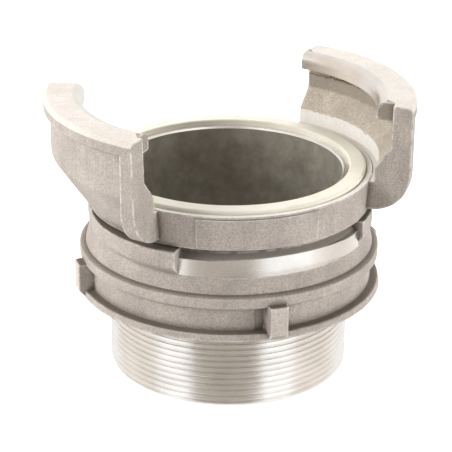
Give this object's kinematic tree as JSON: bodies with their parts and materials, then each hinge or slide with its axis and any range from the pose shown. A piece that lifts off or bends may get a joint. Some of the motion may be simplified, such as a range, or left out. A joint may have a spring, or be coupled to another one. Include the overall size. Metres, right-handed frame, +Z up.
{
  "type": "quarter turn hose coupling half",
  "caption": "Symmetrical quarter turn fire hose coupling half: two hooked claws, seal and turning lock ring over a male threaded tail.",
  "frame": {"origin": "centre of the threaded tail's end face, on the waterway's axis", "axes": "+Z up the waterway from the tail to the sealing plane; the two hooks stand on +X and -X"},
  "size_m": [0.1328, 0.1152, 0.1036],
  "materials": {
    "cast_body": "sand cast, machined on the thread, lips and bore",
    "cast_ring": "sand cast, machined in the windows",
    "seal_rubber": "smooth moulded",
    "spring_steel": "drawn wire"
  },
  "bodies": {
    "body": {"body": "cast_body", "gasket": "seal_rubber", "retaining_ring": "spring_steel"},
    "locking_ring": {"locking_ring": "cast_ring"}
  },
  "joints": [
    {"name": "lock_turn", "type": "hinge", "parent": "body", "child": "locking_ring", "pos_m": [0, 0, 0.0468], "axis": [0, 0, -1], "range_deg": [0, 90]}
  ]
}
